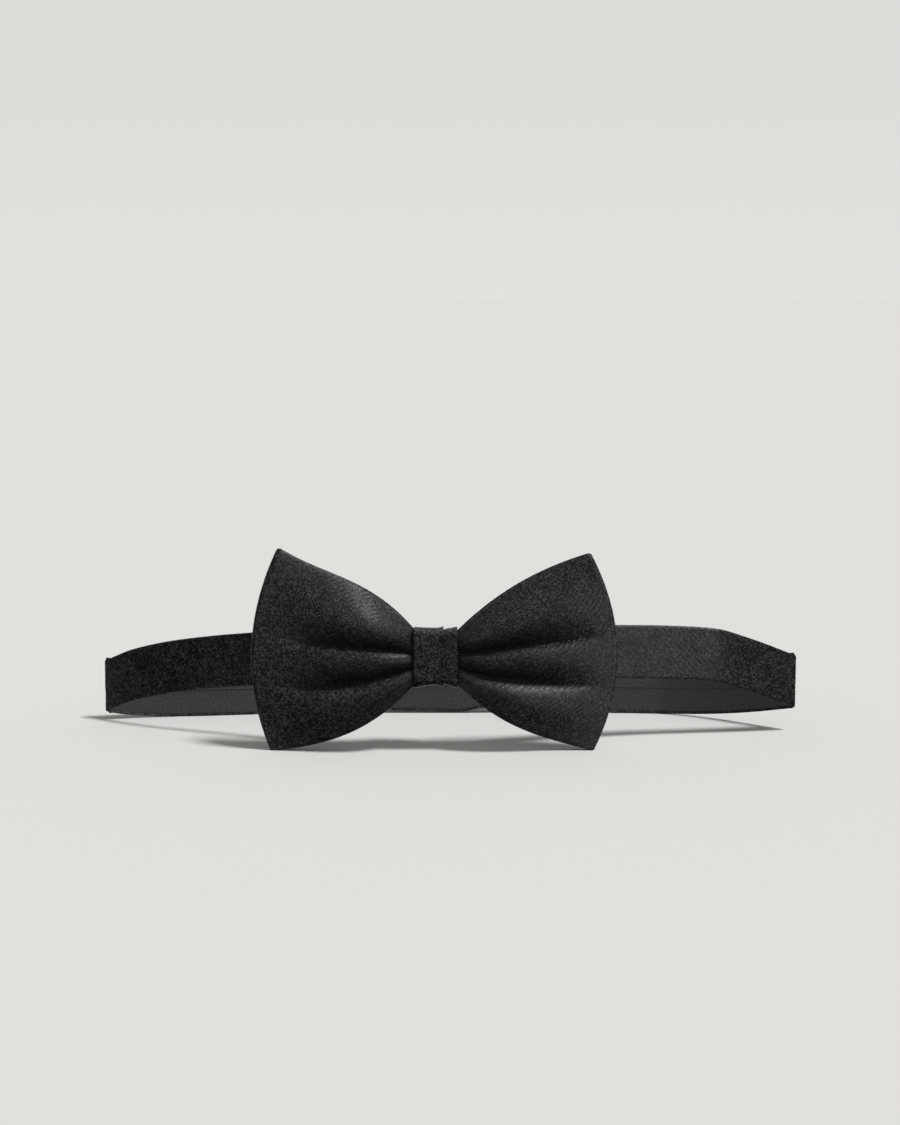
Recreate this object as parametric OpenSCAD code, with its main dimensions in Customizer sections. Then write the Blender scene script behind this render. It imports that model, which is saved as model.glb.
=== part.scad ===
// Ready-tied bow tie with an adjustable neck band.
// The bow is one lined strip, folded into a flat loop, gathered at its waist and wrapped by the knot.
// The band runs loose through the back of the knot and folds at the left and at the right; its two rear
// runs end in an eye and a hook, and a slider holds the doubled run.
// X is to the right, Y to the back and Z up. Inside the modules the knot is at x = 0, y = 0.

/* [Bow] */
// Left wing: upper tip, from the knot's centre
left_top_x = 51.8; // [46:0.1:62]
// Left wing: upper tip, height
left_top_z = 66.9; // [55:0.1:82]
// Left wing: lower tip, from the knot's centre
left_low_x = 54.7; // [46:0.1:64]
// Left wing: how far the outer edge bows out past its two tips
left_belly = 7.3; // [2:0.1:10]
// Right wing: upper tip, from the knot's centre
right_top_x = 50.6; // [46:0.1:62]
// Right wing: upper tip, height
right_top_z = 65.3; // [56:0.1:80]
// Right wing: lower tip, from the knot's centre
right_low_x = 52.1; // [46:0.1:64]
// Right wing: how far the outer edge bows out past its two tips
right_belly = 8.2; // [2:0.1:10]
// Depth of the gathered waist
waist_depth = 6.4; // [5:0.1:9]
// How much further the front of each wing stands out than the waist
wing_bulge = 3.5; // [0:0.1:7]
// Depth of the pleats at their deepest
pleat_depth = 2.4; // [0.5:0.1:3.5]
// Lower pleat valley, as a share of the strip's width
lower_pleat = 0.33; // [0.25:0.01:0.42]
// Upper pleat valley, as a share of the strip's width
upper_pleat = 0.59; // [0.5:0.01:0.72]

/* [Cloth] */
// Satin thickness
satin_t = 0.35; // [0.2:0.05:0.5]
// Interlining thickness in the bow
interlining_t = 0.4; // [0.2:0.05:0.6]
// Lining thickness in the bow
lining_t = 0.25; // [0.15:0.05:0.4]

/* [Knot] */
// Width of the knot
knot_w = 14.6; // [10:0.1:18]
// Height of the knot
knot_h = 19.3; // [16:0.1:26]
// Height of the knot's centre
knot_z = 30.95; // [28:0.05:36]
// Thickness of the satin wrap
wrap_t = 0.85; // [0.5:0.05:1.1]
// Thickness of the wrap's interlining
wrap_interlining_t = 0.45; // [0.2:0.05:0.6]
// Radius of the knot's rounded corners
knot_r = 2.4; // [2:0.1:2.6]

/* [Neck band] */
// Width of the band
band_w = 18.1; // [15:0.1:22]
// The left fold, from the knot's centre
left_reach = 116; // [96:1:140]
// The right fold, from the knot's centre
right_reach = 122.4; // [102:0.1:148]
// How far the rear run lies behind the knot
loop_depth = 56; // [46:1:68]
// Thickness of the band
band_t = 1.2; // [0.9:0.05:1.5]
// How far the bow can be moved along the band, each way
bow_travel = 12; // [4:1:12]

/* [Hook, eye and slider] */
// Wire diameter of the eye and of the hook's bars
wire_d = 1.3; // [1:0.05:1.6]
// Length of the eye, bar to bar
eye_len = 12; // [11:0.1:16]
// Thickness of the hook's plate
plate_t = 0.8; // [0.5:0.05:1]
// Height of the hook's plate
plate_h = 8; // [4:0.1:12]
// How far the hook slides between open and hooked
hook_travel = 5; // [4:0.1:6]
// Length of the slider
slider_len = 11; // [8:0.1:14]
// How far the slider moves, each way
slider_travel = 9; // [2:1:9]
// Gap between pieces that move past each other
clearance = 0.3; // [0.25:0.05:0.4]

/* [Hidden] */
$fn = 48;

satin = "#1b1a1a";
satin_back = "#2d3033";
interlining = "#d9d6cc";
thread = "#111111";
nickel = "#b9b6af";

ply_gap = 0.05;        // air between two plies of one strip
thread_d = 0.35;       // sewing thread, as sewn

// ---- Bow loop ----
knot_wall = wrap_t + ply_gap + wrap_interlining_t;
inner_h = knot_h - 2 * knot_wall;
waist_gap = 0.65;      // air between the waist's thread and the knot's inside
waist_h = inner_h - 2 * (thread_d + waist_gap);
waist_x = knot_w / 2 - 0.3;    // half of the straight waist
waist_back = 0.2;      // y of the waist's back face
edge_y = -2.6;         // y of the folded outer edge
top_flare = 0.68;      // how fast the upper edge rises near the waist
low_flare = 0.95;      // how fast the lower edge falls near the waist
back_pleat_share = 0.15;
hem_inset = 0.4;       // how far inner plies stop short of the strip's edge, in rows
half_steps = 10;       // stations along half a ply
lobe_steps = 5;        // rows across one lobe
ply_t = satin_t + interlining_t + lining_t + 2 * ply_gap;

lobe_ends = [0, lower_pleat, upper_pleat, 1];
rows = concat(
    [for (lobe = [0:2]) for (k = [0:lobe_steps - 1])
        mix(lobe_ends[lobe], lobe_ends[lobe + 1], k / lobe_steps)],
    [1]
);
ring_size = 4 * half_steps + 2;

function mix(a, b, t) = a + (b - a) * t;
function flare(u, c) = u * (1 + c * (1 - u));
function lobe_at(v) = v < lower_pleat ? 0 : v < upper_pleat ? 1 : 2;
function lobe_share(v) =
    let (lobe = lobe_at(v), a = lobe_ends[lobe], b = lobe_ends[lobe + 1], t = (v - a) / (b - a))
    4 * t * (1 - t);
function pleat(u, v) = pleat_depth * 2.6 * sqrt(u) * (1 - u) * lobe_share(v);

function outer_edge(side, v) = side < 0
    ? mix(left_low_x, left_top_x, v) + left_belly * 4 * v * (1 - v)
    : mix(right_low_x, right_top_x, v) + right_belly * 4 * v * (1 - v);
function upper_edge(side, u) =
    mix(knot_z + waist_h / 2, side < 0 ? left_top_z : right_top_z, flare(u, top_flare));
function lower_edge(u) = mix(knot_z - waist_h / 2, 0, flare(u, low_flare));

// Station k round the loop: [side, share of the way to the outer edge as an angle, front or back]
function station(k) =
    let (n = half_steps, j = k - 2 * n - 2)
    k <= n ? [-1, 90 * (n - k) / n, -1]
    : k <= 2 * n + 1 ? [1, 90 * (k - n - 1) / n, -1]
    : j < n ? [1, 90 * (n - 1 - j) / n, 1]
    : [-1, 90 * (j - n) / n, 1];

// Point of the loop at station k and share v across, depth d inside the satin's outer face
function loop_point(k, v, d) =
    let (
        s = station(k),
        u = sin(s[1]),
        open = cos(s[1]),
        x = s[0] * mix(waist_x, outer_edge(s[0], v) - d, u),
        front = waist_depth + edge_y - waist_back + wing_bulge * sin(180 * u),
        back = waist_back - edge_y,
        y = s[2] < 0
            ? edge_y - (front - d) * open - pleat(u, v)
            : edge_y + (back - d) * open - back_pleat_share * pleat(u, v),
        z = mix(lower_edge(u), upper_edge(s[0], u), v)
    )
    [x, y, z];

function row_point(k, row, d, inset) =
    let (last = len(rows) - 1)
    row == 0 ? mix(loop_point(k, rows[0], d), loop_point(k, rows[1], d), inset)
    : row == last ? mix(loop_point(k, rows[last], d), loop_point(k, rows[last - 1], d), inset)
    : loop_point(k, rows[row], d);

// One ply of the loop, from depth d0 to depth d1 inside the satin's outer face
module loop_ply(d0, d1, inset) {
    last = len(rows) - 1;
    count = len(rows) * ring_size;
    points = [for (d = [d0, d1]) for (row = [0:last]) for (k = [0:ring_size - 1])
        row_point(k, row, d, inset)];
    function id(skin, row, k) = skin * count + row * ring_size + k % ring_size;
    function quad(a, b, c, d) = [[a, b, c], [a, c, d]];
    faces = [
        for (k = [0:ring_size - 1])
            let (
                walls = [for (row = [0:last - 1]) each concat(
                    quad(id(0, row, k), id(0, row + 1, k), id(0, row + 1, k + 1), id(0, row, k + 1)),
                    quad(id(1, row, k), id(1, row, k + 1), id(1, row + 1, k + 1), id(1, row + 1, k))
                )],
                rims = concat(
                    quad(id(0, 0, k), id(0, 0, k + 1), id(1, 0, k + 1), id(1, 0, k)),
                    quad(id(0, last, k), id(1, last, k), id(1, last, k + 1), id(0, last, k + 1))
                )
            )
            each concat(walls, rims)
    ];
    polyhedron(points, faces, convexity = 8);
}

module bow_loop_satin() color(satin) loop_ply(0, satin_t, 0);

module bow_loop_interlining() color(interlining)
    loop_ply(satin_t + ply_gap, satin_t + ply_gap + interlining_t, hem_inset);

module bow_loop_lining() color(satin_back) loop_ply(ply_t - lining_t, ply_t, hem_inset / 2);

// ---- Waist and knot ----
waist_front = waist_back - waist_depth;
tunnel_front = waist_back + thread_d + 0.05 + clearance + 0.1;
tunnel_y = tunnel_front + band_t / 2;
tunnel_back = tunnel_y + band_t / 2 + clearance + 0.1;
inner_front = waist_front - thread_d - 0.2;
stitch_pitch = 2.2;    // from one stitch to the next
stitch_l = 2.6;        // length of one stitch

// Rounded rectangle centred on the origin
module rounded(w, h, r) {
    square([w - 2 * r, h], center = true);
    square([w, h - 2 * r], center = true);
    for (sx = [-1, 1], sy = [-1, 1])
        translate([sx * (w / 2 - r), sy * (h / 2 - r)]) circle(r);
}

// Upright band of cloth or thread round the waist: from y0 to y1 and h high inside, w wide along X
module waist_band(y0, y1, h, wall, w, r) {
    translate([-w / 2, (y0 + y1) / 2, knot_z])
    rotate([90, 0, 90])
    linear_extrude(w)
    difference() {
        rounded(y1 - y0 + 2 * wall, h + 2 * wall, r + wall);
        rounded(y1 - y0, h, r);
    }
}

module waist_thread() color(thread)
    for (turn = [-1:1])
        translate([turn * 1.2, 0, 0])
            waist_band(waist_front - 0.05, waist_back + 0.05, waist_h + 0.1, thread_d, thread_d, 0.02);

module loop_joining_stitches() color(thread)
    for (k = [-2.5:2.5])
        translate([-stitch_l / 2, waist_back - ply_t - thread_d / 2, knot_z + k * stitch_pitch])
            rotate([0, 90, 0]) cylinder(h = stitch_l, d = thread_d, $fn = 24);

module knot_wrap() color(satin)
    waist_band(inner_front - wrap_interlining_t - ply_gap, tunnel_back + wrap_interlining_t + ply_gap,
        inner_h + 2 * (wrap_interlining_t + ply_gap), wrap_t, knot_w,
        knot_r - wrap_t);

module knot_interlining() color(interlining)
    waist_band(inner_front, tunnel_back, inner_h, wrap_interlining_t, knot_w - 1.2,
        knot_r - wrap_t - wrap_interlining_t - ply_gap);

module knot_stitches() color(thread)
    for (k = [-2.5:2.5])
        translate([-stitch_l / 2, tunnel_back + knot_wall + thread_d / 2, knot_z + k * stitch_pitch])
            rotate([0, 90, 0]) cylinder(h = stitch_l, d = thread_d, $fn = 24);

// ---- Hook, eye and slider: where they lie ----
wire_r = wire_d / 2;
lift = wire_d + clearance;             // the band's lower edge rides on the hardware's lower rails
turn_gap = 0.15;                       // between a bar and the band turned round it
run_y = loop_depth;                    // middle of the straight rear run
bar_y = run_y + band_t / 2 + turn_gap + wire_r;
return_y = 2 * bar_y - run_y;
turn_r = wire_r + turn_gap;
rail_z = [wire_r, lift + band_w + clearance + wire_r];
eye_x = -46;                           // the eye's bar that the band holds
far_x = eye_x + eye_len;               // the eye's other bar, which the hook catches
hook_r = wire_r + clearance + 0.05;    // inside radius of the hook's bend
bend_x = far_x - 0.2 - hook_travel;    // centre of the hook's bend, hook open
cross_x = far_x + wire_d + clearance + 1;
hook_bar_x = cross_x + hook_travel + band_t + turn_gap + wire_d + 0.5;
turn_x = hook_bar_x;                   // centre of the band's turn round the hook's bar
slider_x = 34;
straight_end = slider_x + slider_travel + slider_len / 2 + 1.5;
tail_end = straight_end + 2;

// ---- Band: plan, height and width, as functions of x ----
left_fold = [-left_reach, 44];
right_fold = [right_reach, 26];
left_fold_low = 2.9;                   // lower edge of the band at the left fold
right_fold_low = 8.1;                  // and at the right fold
fold_gap = 2.4;                        // where a rear run starts, past the fold's axis
tunnel_end = knot_w / 2 + bow_travel + 0.7;
tunnel_gap = 0.7;                      // air above and below the band inside the knot
tunnel_w = min(band_w, inner_h - 2 * tunnel_gap);
tunnel_low = knot_z - tunnel_w / 2;
left_tunnel = [-tunnel_end, tunnel_y];
right_tunnel = [tunnel_end, tunnel_y];

// A free stretch between two places in plan. Each row: share of the way in x, in y, and the lower edge
function stretch(from, to, rows) =
    [for (r = rows) [mix(from[0], to[0], r[0]), mix(from[1], to[1], r[1]), r[2], band_w]];

// Each row of a path: x, y, lower edge, width
front_path = concat(
    stretch(left_fold, left_tunnel, [
        [0, 0, left_fold_low],
        [0.125, 0.18, 8.7],
        [0.31, 0.43, 13.9],
        [0.56, 0.68, 18],
        [0.77, 0.87, 20.4]
    ]),
    [[left_tunnel[0], tunnel_y, tunnel_low, tunnel_w], [right_tunnel[0], tunnel_y, tunnel_low, tunnel_w]],
    stretch(right_tunnel, right_fold, [
        [0.215, 0.2, 21.8],
        [0.39, 0.39, 21.3],
        [0.615, 0.61, 20],
        [0.72, 0.68, 18.9],
        [0.82, 0.775, 15.7],
        [1, 1, right_fold_low]
    ])
);
left_path = concat(
    stretch(left_fold, [eye_x - 7, run_y], [
        [0, 0, left_fold_low],
        [0.11, 0.17, 1.5],
        [0.22, 0.33, 0.6],
        [0.365, 0.47, 0],
        [0.555, 0.58, 0],
        [0.81, 0.78, 0],
        [1, 1, lift]
    ]),
    [[eye_x, run_y, lift, band_w]]
);
right_path = concat(
    [[turn_x, run_y, lift, band_w]],
    stretch([straight_end, run_y], right_fold, [
        [0, 0, lift],
        [0.19, 0.013, 0.1],
        [0.37, 0.04, 0],
        [0.525, 0.17, 0.6],
        [0.68, 0.385, 2.1],
        [0.83, 0.67, 4.6],
        [1, 1, right_fold_low]
    ])
);
path_steps = 3;                        // stations between two rows of a path

// Smooth curve through a path's rows, which doesn't swing past them
function secant(path, i, c) = (path[i + 1][c] - path[i][c]) / (path[i + 1][0] - path[i][0]);
function slope(path, i, c) =
    let (last = len(path) - 1)
    i == 0 ? secant(path, 0, c)
    : i == last ? secant(path, last - 1, c)
    : let (a = secant(path, i - 1, c), b = secant(path, i, c)) a * b <= 0 ? 0 : 2 * a * b / (a + b);
function span_of(path, x) = max([0, for (k = [0:len(path) - 2]) if (path[k][0] <= x) k]);
function path_at(path, x, c) =
    let (
        i = span_of(path, x),
        w = path[i + 1][0] - path[i][0],
        t = (x - path[i][0]) / w,
        a = path[i][c],
        b = path[i + 1][c],
        ma = slope(path, i, c) * w,
        mb = slope(path, i + 1, c) * w
    )
    a + ma * t + (3 * (b - a) - 2 * ma - mb) * t * t + (2 * (a - b) + ma + mb) * t * t * t;
function path_slope(path, x) =
    let (step = 0.05)
    (path_at(path, min(x + step, path[len(path) - 1][0]), 1)
        - path_at(path, max(x - step, path[0][0]), 1))
    / (min(x + step, path[len(path) - 1][0]) - max(x - step, path[0][0]));
function stations(path, x0, x1) = concat(
    [x0],
    [for (i = [0:len(path) - 2]) for (k = [0:path_steps - 1])
        let (x = mix(path[i][0], path[i + 1][0], k / path_steps)) if (x > x0 + 0.3 && x < x1 - 0.3) x],
    [x1]
);

// The four corners of a ply's section at x: from offset o0 to o1 towards the back, inset at both edges
function section(path, x, o0, o1, inset) =
    let (
        m = path_slope(path, x),
        n = [-m, 1] / sqrt(1 + m * m),
        p = [x, path_at(path, x, 1)],
        low = path_at(path, x, 2) + inset,
        high = path_at(path, x, 2) + path_at(path, x, 3) - inset
    )
    [for (q = [[o0, low], [o1, low], [o1, high], [o0, high]]) [p[0] + n[0] * q[0], p[1] + n[1] * q[0], q[1]]];

function ply_points(path, x0, x1, o0, o1, inset) =
    [for (x = stations(path, x0, x1)) each section(path, x, o0, o1, inset)];

module band_ply(path, x0, x1, o0, o1, inset) {
    points = ply_points(path, x0, x1, o0, o1, inset);
    last = len(points) / 4 - 1;
    faces = concat(
        [[0, 1, 2], [0, 2, 3]],
        [for (s = [0:last - 1]) for (c = [0:3])
            let (a = 4 * s + c, b = 4 * s + (c + 1) % 4) each [[a, a + 4, b + 4], [a, b + 4, b]]],
        [[4 * last, 4 * last + 2, 4 * last + 1], [4 * last, 4 * last + 3, 4 * last + 2]]
    );
    polyhedron(points, faces, convexity = 6);
}

// Offsets of the three plies, from the band's middle towards its outer face
outer_ply = [band_t * 0.14, band_t / 2];
middle_ply = [-band_t * 0.16, band_t * 0.12];
inner_ply = [-band_t / 2, -band_t * 0.18];
interlining_inset = 0.9;

// The front run's outer face looks forwards, so its offsets are turned round
module front_ply(ply, inset) band_ply(front_path, left_fold[0], right_fold[0], -ply[1], -ply[0], inset);
module left_ply(ply, inset) band_ply(left_path, left_fold[0] + fold_gap, eye_x, ply[0], ply[1], inset);
module right_ply(ply, inset) band_ply(right_path, turn_x, right_fold[0] - fold_gap, ply[0], ply[1], inset);

module front_band_satin() color(satin) front_ply(outer_ply, 0);
module front_band_interlining() color(interlining) front_ply(middle_ply, interlining_inset);
module front_band_lining() color(satin_back) front_ply(inner_ply, 0);
module left_band_satin() color(satin) left_ply(outer_ply, 0);
module left_band_interlining() color(interlining) left_ply(middle_ply, interlining_inset);
module left_band_lining() color(satin_back) left_ply(inner_ply, 0);
module right_band_satin() color(satin) right_ply(outer_ply, 0);
module right_band_interlining() color(interlining) right_ply(middle_ply, interlining_inset);
module right_band_lining() color(satin_back) right_ply(inner_ply, 0);

// The band turned round a bar at x and back for a length; side is +1 for a turn at the right-hand end
module turned_end(x, side, back_l) color(satin)
    translate([x, bar_y, lift])
    linear_extrude(band_w) {
        intersection() {
            difference() {
                circle(turn_r + band_t);
                circle(turn_r);
            }
            translate([side > 0 ? 0 : -2 * band_t - turn_r, -turn_r - band_t])
                square([2 * band_t + turn_r, 2 * (turn_r + band_t)]);
        }
        translate([side > 0 ? -back_l : 0, turn_r]) square([back_l, band_t]);
    }

bartack_h = 11;        // height of a bartack
bartack_count = 6;     // its stitches

// A column of short stitches on the band's outer face at x, across the direction of the band
module bartack(x) color(thread)
    for (k = [0:bartack_count - 1])
        translate([x - 0.9, return_y + band_t / 2 + thread_d / 2,
            lift + band_w / 2 + (k / (bartack_count - 1) - 0.5) * bartack_h])
            rotate([0, 90, 0]) cylinder(h = 1.8, d = thread_d, $fn = 24);

eye_turn_l = 8;        // how far the band is turned back at the eye
module eye_end_loop() turned_end(eye_x, 1, eye_turn_l);
module eye_bartack() bartack(eye_x - eye_turn_l + 1.5);
module return_run() turned_end(turn_x, -1, tail_end - turn_x);
module tail_bartack() bartack(tail_end - 1.5);

// Upright bar and lengthwise rail of round wire
module bar(x) translate([x, bar_y, rail_z[0]]) cylinder(h = rail_z[1] - rail_z[0], d = wire_d);
module rail(x0, x1, z) translate([x0, bar_y, z]) rotate([0, 90, 0]) cylinder(h = x1 - x0, d = wire_d);

module wire_frame(x0, x1) {
    for (x = [x0, x1]) {
        bar(x);
        for (z = rail_z) translate([x, bar_y, z]) sphere(d = wire_d);
    }
    for (z = rail_z) rail(x0, x1, z);
}

module eye_ring() color(nickel) wire_frame(eye_x, far_x);

// Wire frame that the band turns round, and a flat tongue bent back on itself round the eye's far bar
module hook() color(nickel) {
    wire_frame(cross_x, hook_bar_x);
    translate([0, bar_y, lift + (band_w - plate_h) / 2])
    linear_extrude(plate_h) {
        translate([bend_x, -hook_r - plate_t]) square([cross_x - bend_x + wire_r, plate_t]);
        translate([cross_x - wire_r, -hook_r - plate_t]) square([wire_d, hook_r + plate_t]);
        intersection() {
            translate([bend_x, 0]) difference() {
                circle(hook_r + plate_t);
                circle(hook_r);
            }
            translate([bend_x - 2 * hook_r - plate_t, -hook_r - plate_t])
                square([2 * hook_r + plate_t, 2 * (hook_r + plate_t)]);
        }
        translate([bend_x, hook_r]) square([hook_travel - hook_r - 0.3, plate_t]);
    }
}

// Stamped frame: a bar in front of the doubled band, two behind it, and a flat rail above and below
slider_bar = 1.4;
slider_bar_t = 1;
module slider_frame() color(nickel) {
    front = run_y - band_t / 2 - clearance - slider_bar_t;
    rear = return_y + band_t / 2 + clearance;
    x0 = slider_x - slider_len / 2;
    for (z = [0, lift + band_w + clearance])
        translate([x0, front, z]) cube([slider_len, rear + slider_bar_t - front, wire_d]);
    translate([slider_x - slider_bar / 2, front, 0])
        cube([slider_bar, slider_bar_t, 2 * wire_d + 2 * clearance + band_w]);
    for (x = [x0, x0 + slider_len - slider_bar])
        translate([x, rear, 0]) cube([slider_bar, slider_bar_t, 2 * wire_d + 2 * clearance + band_w]);
}

// ---- Origin: the middle of the whole part's footprint ----
fold_ends = concat(
    ply_points(front_path, left_fold[0], right_fold[0], -band_t / 2, band_t / 2, 0),
    ply_points(right_path, turn_x, right_fold[0] - fold_gap, -band_t / 2, band_t / 2, 0)
);
bow_front = min([for (v = rows) for (k = [0:ring_size - 1]) loop_point(k, v, 0)[1]]);
part_min = [min([for (p = fold_ends) p[0]]), min(bow_front, inner_front - knot_wall)];
part_max = [
    max([for (p = fold_ends) p[0]]),
    return_y + band_t / 2 + clearance + slider_bar_t
];
origin_shift = [-(part_min[0] + part_max[0]) / 2, -(part_min[1] + part_max[1]) / 2, 0];

translate(origin_shift) bow_loop_satin();
translate(origin_shift) bow_loop_interlining();
translate(origin_shift) bow_loop_lining();
translate(origin_shift) loop_joining_stitches();
translate(origin_shift) waist_thread();
translate(origin_shift) knot_wrap();
translate(origin_shift) knot_interlining();
translate(origin_shift) knot_stitches();
translate(origin_shift) front_band_satin();
translate(origin_shift) front_band_interlining();
translate(origin_shift) front_band_lining();
translate(origin_shift) left_band_satin();
translate(origin_shift) left_band_interlining();
translate(origin_shift) left_band_lining();
translate(origin_shift) eye_end_loop();
translate(origin_shift) eye_bartack();
translate(origin_shift) eye_ring();
translate(origin_shift) right_band_satin();
translate(origin_shift) right_band_interlining();
translate(origin_shift) right_band_lining();
translate(origin_shift) return_run();
translate(origin_shift) tail_bartack();
translate(origin_shift) slider_frame();
translate(origin_shift) hook();
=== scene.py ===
"""A ready-tied black satin bow tie on an adjustable neck band, built round its fixed CAD frame.

Lengths inside the shaping functions are millimetres in the maker's own axes: x across the bow, y from
the bow towards the back of the neck, z up from the table. make_piece() moves every finished shape to
the frame's axes in metres.
"""

import math

import bmesh
import bpy
from bpy.props import FloatProperty, FloatVectorProperty, PointerProperty
from mathutils import Matrix, Vector, noise


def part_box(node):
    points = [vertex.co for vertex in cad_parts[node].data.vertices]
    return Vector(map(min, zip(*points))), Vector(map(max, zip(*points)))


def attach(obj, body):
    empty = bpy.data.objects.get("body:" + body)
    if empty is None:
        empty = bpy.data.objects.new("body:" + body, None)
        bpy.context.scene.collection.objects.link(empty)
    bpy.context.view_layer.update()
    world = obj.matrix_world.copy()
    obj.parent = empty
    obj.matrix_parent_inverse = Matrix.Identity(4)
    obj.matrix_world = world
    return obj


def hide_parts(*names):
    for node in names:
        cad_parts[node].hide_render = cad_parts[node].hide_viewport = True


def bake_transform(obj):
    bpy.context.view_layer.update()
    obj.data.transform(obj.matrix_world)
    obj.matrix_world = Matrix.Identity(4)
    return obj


bl_info = {
    "name": "Satin bow tie",
    "version": (1, 0, 0),
    "blender": (4, 5, 0),
    "location": "View3D > Sidebar > Bow Tie",
    "description": "Builds a ready-tied satin bow tie, its neck band and a plain studio",
    "category": "Add Mesh",
}

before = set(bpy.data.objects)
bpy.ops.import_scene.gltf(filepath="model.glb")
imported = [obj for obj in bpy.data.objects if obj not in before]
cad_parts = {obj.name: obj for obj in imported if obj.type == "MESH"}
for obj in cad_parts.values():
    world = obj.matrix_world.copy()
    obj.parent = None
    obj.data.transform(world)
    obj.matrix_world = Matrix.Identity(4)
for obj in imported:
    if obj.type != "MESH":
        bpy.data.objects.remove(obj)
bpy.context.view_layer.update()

MM = 0.001
KNOT_LOW, KNOT_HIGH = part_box("knot_wrap")
KNOT_BACK_Y = 3.95  # back of the knot in the maker's axes
ORIGIN = Vector(((KNOT_LOW.x + KNOT_HIGH.x) / 2, KNOT_HIGH.y - KNOT_BACK_Y * MM, 0))
CLOTH_UV = "cloth"  # the UV map of every cloth piece, in millimetres of cloth


def linear_colour(text):
    """An sRGB hex value as linear red, green, blue and an alpha of 1."""
    parts = [int(text[k : k + 2], 16) / 255 for k in (1, 3, 5)]
    return [p / 12.92 if p <= 0.04045 else ((p + 0.055) / 1.055) ** 2.4 for p in parts] + [1]


def mix(a, b, t):
    """The value a share t of the way from a to b."""
    return a + (b - a) * t


def clamp(value, low=0.0, high=1.0):
    """The value kept between low and high."""
    return max(low, min(high, value))


def smooth_step(t):
    """A share that starts and ends level."""
    t = clamp(t)
    return t * t * (3 - 2 * t)


# ---- Sizes and colours that a user would change ----


class BowSizes(bpy.types.PropertyGroup):
    """The bow's cloth and its folds."""

    satin: FloatProperty(
        name="Satin", description="Thickness of the satin", default=0.25 * MM, unit="LENGTH"
    )
    canvas: FloatProperty(
        name="Interlining", description="Thickness of the interlining", default=0.27 * MM, unit="LENGTH"
    )
    lining: FloatProperty(
        name="Lining", description="Thickness of the lining", default=0.2 * MM, unit="LENGTH"
    )
    fold_radius: FloatProperty(
        name="Fold radius",
        description="Outer radius of the fold at each wing's outer edge",
        default=1.15 * MM,
        unit="LENGTH",
    )
    lobe_height: FloatProperty(
        name="Lobe height", description="How far lobes stand forward", default=4.0 * MM, unit="LENGTH"
    )
    tuck_depth: FloatProperty(
        name="Tuck depth", description="Depth of the tuck below a lobe", default=4.6 * MM, unit="LENGTH"
    )
    hem: FloatProperty(
        name="Hem", description="Satin turned to the inside at each edge", default=5 * MM, unit="LENGTH"
    )


class BandSizes(bpy.types.PropertyGroup):
    """The neck band's cloth."""

    thickness: FloatProperty(
        name="Thickness", description="Thickness of the finished band", default=1.2 * MM, unit="LENGTH"
    )
    satin: FloatProperty(
        name="Satin", description="Thickness of the satin", default=0.22 * MM, unit="LENGTH"
    )
    hem: FloatProperty(
        name="Hem", description="Satin turned to the inner face", default=0.9 * MM, unit="LENGTH"
    )
    fold_radius: FloatProperty(
        name="Fold radius",
        description="Radius of the band's middle where it folds at either end",
        default=0.7 * MM,
        unit="LENGTH",
    )


class ClothColours(bpy.types.PropertyGroup):
    """Colours of the cloth, the thread and the metal."""

    satin_high: FloatVectorProperty(
        name="Satin, lit thread",
        description="Satin where a float of thread catches the light",
        subtype="COLOR",
        size=4,
        default=linear_colour("#403F3D"),
    )
    satin_low: FloatVectorProperty(
        name="Satin, ground",
        description="Satin between the floats",
        subtype="COLOR",
        size=4,
        default=linear_colour("#010101"),
    )
    reverse: FloatVectorProperty(
        name="Band lining",
        description="Inner face of the band",
        subtype="COLOR",
        size=4,
        default=linear_colour("#3C3D40"),
    )
    canvas: FloatVectorProperty(
        name="Interlining",
        description="Stiff interlining",
        subtype="COLOR",
        size=4,
        default=linear_colour("#D9D6CC"),
    )
    thread: FloatVectorProperty(
        name="Thread",
        description="Sewing thread",
        subtype="COLOR",
        size=4,
        default=linear_colour("#141413"),
    )
    nickel: FloatVectorProperty(
        name="Nickel",
        description="Nickel plate",
        subtype="COLOR",
        size=4,
        default=linear_colour("#B9B6AF"),
    )


class StageLight(bpy.types.PropertyGroup):
    """The studio's paper and its light."""

    paper: FloatVectorProperty(
        name="Paper", description="Floor", subtype="COLOR", size=4, default=linear_colour("#CFCECC")
    )
    key_power: FloatProperty(name="Key light", description="Strength of the key light", default=3.0)
    key_spread: FloatProperty(
        name="Key spread",
        description="Apparent width of the key light",
        default=math.radians(11),
        subtype="ANGLE",
    )
    key_tilt: FloatProperty(
        name="Key tilt",
        description="How far the key light stands to the right",
        default=math.radians(24),
        subtype="ANGLE",
    )
    sheen_power: FloatProperty(
        name="Sheen light", description="Small light for the gloss only", default=3.6, unit="POWER"
    )
    room: FloatProperty(
        name="Room light", description="Strength of the light all round", default=0.36, min=0.0
    )
    backdrop: FloatProperty(
        name="Backdrop", description="Brightness of the paper round the studio", default=0.76, min=0.0
    )


# ---- Materials ----


def add_node(tree, kind, settings=(), inputs=()):
    """A node with its settings, and its sockets given values or linked from other sockets."""
    node = tree.nodes.new(kind)
    for name, value in settings:
        setattr(node, name, value)
    for name, value in inputs:
        if isinstance(value, bpy.types.NodeSocket):
            tree.links.new(value, node.inputs[name])
        else:
            node.inputs[name].default_value = value
    return node


def start_material(name, shader_inputs):
    """A material with one Principled shader. Returns it, its node tree and the shader."""
    material = bpy.data.materials.new(name)
    material.use_nodes = True
    tree = material.node_tree
    tree.nodes.clear()
    shader = add_node(tree, "ShaderNodeBsdfPrincipled", inputs=shader_inputs)
    add_node(tree, "ShaderNodeOutputMaterial", inputs=[("Surface", shader.outputs["BSDF"])])
    return material, tree, shader


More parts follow.
